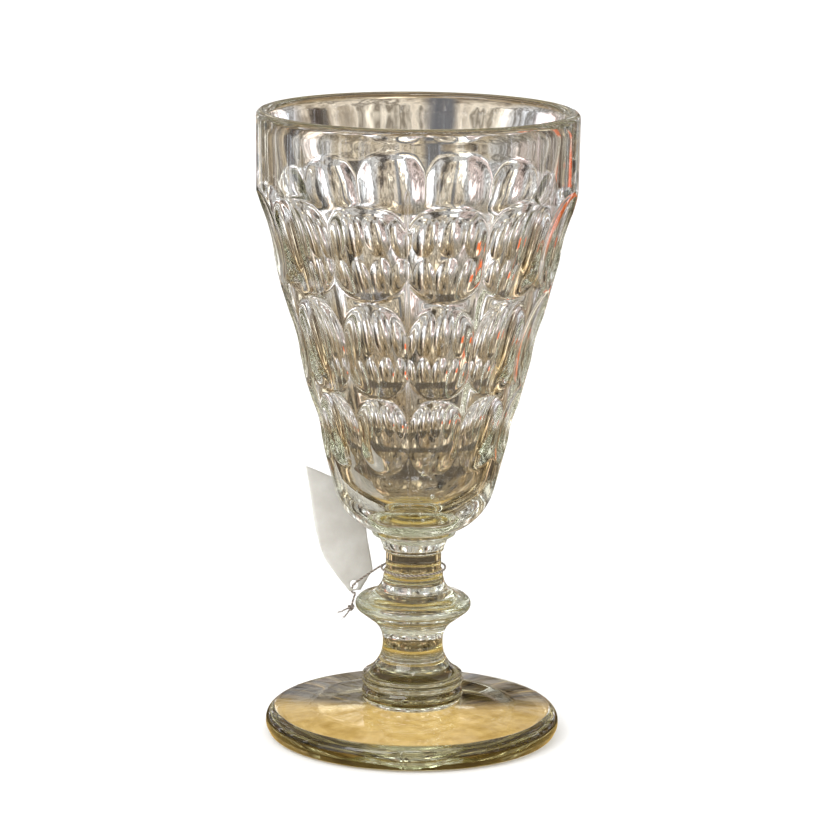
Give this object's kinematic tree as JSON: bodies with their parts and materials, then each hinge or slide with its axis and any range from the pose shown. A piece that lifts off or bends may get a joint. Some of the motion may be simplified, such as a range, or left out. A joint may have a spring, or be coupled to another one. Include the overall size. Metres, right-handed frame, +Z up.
{
  "type": "pressed glass goblet",
  "caption": "Footed goblet of clear pressed glass with rows of hollow ovals, a knopped stem, and a paper ticket tied round the stem with thread.",
  "frame": {"origin": "centre of the foot's underside", "axes": "+Z up along the stem and bowl; the mould seam faces -Y, turned 3.5 degrees clockwise seen from above"},
  "size_m": [0.0824, 0.0824, 0.163],
  "materials": {
    "clear_glass": "polished, faint olive tint where it is thick",
    "thread": "twisted two-ply cotton",
    "ticket_paper": "matt white paper"
  },
  "bodies": {
    "goblet": {"bowl": "clear_glass", "collar": "clear_glass", "upper_stem": "clear_glass", "knop": "clear_glass", "lower_stem": "clear_glass", "base_ring": "clear_glass", "foot": "clear_glass"},
    "thread": {"thread_loop": "thread", "thread_leader": "thread", "thread_wrap": "thread", "thread_knot": "thread", "thread_tail_upper": "thread", "thread_tail_lower": "thread"},
    "ticket": {"ticket": "ticket_paper"}
  },
  "joints": [
    {"name": "thread_turn", "type": "hinge", "parent": "goblet", "child": "thread", "pos_m": [0, 0, 0.0437], "axis": [0, 0, 1], "continuous": true},
    {"name": "ticket_swing", "type": "hinge", "parent": "thread", "child": "ticket", "pos_m": [-0.0155, 0.0052, 0.0376], "axis": [-0.866, -0.5, 0], "range_deg": [0, 90]}
  ]
}
